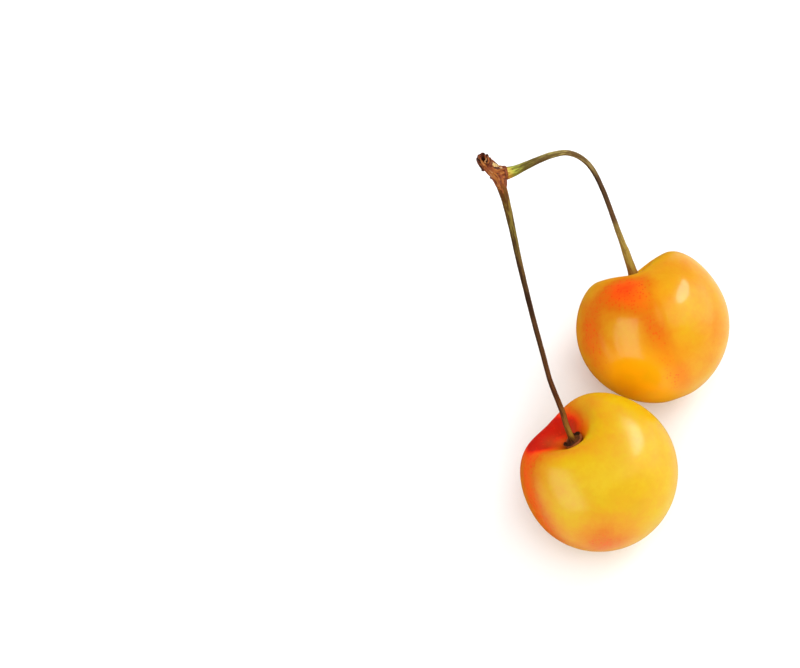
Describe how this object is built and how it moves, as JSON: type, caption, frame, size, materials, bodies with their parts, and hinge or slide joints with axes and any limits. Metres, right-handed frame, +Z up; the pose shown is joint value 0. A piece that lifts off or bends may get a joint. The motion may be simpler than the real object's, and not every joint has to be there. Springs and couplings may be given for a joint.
{
  "type": "cherries on stalks",
  "caption": "Joined pair of yellow, red-blushed sweet cherries lying on their sides, on slim stalks that meet at a short woody spur.",
  "frame": {"origin": "on the surface that the fruits lie on, under the middle of the object's bounding box", "axes": "+Z up; +Y from the front fruit towards the back fruit, along the object's longest extent; +X to the right as seen from the front"},
  "size_m": [0.0434, 0.0646, 0.0347],
  "materials": {
    "front_skin": "waxy yellow fruit skin with a red blush round the stalk",
    "back_skin": "waxy yellow-orange fruit skin with a speckled orange-red blush",
    "front_stalk": "fine lengthwise ridges, brown to olive, with a dark ring at the fruit",
    "back_stalk": "fine lengthwise ridges, olive green and brown, pale at the spur",
    "spur_bark": "rough brown bark in strands, with pale cork steps and old scales round a hollow tip"
  },
  "bodies": {
    "root": {"cherry_front": "front_skin", "cherry_back": "back_skin", "stalk_front": "front_stalk", "stalk_back": "back_stalk", "spur": "spur_bark"}
  },
  "joints": []
}
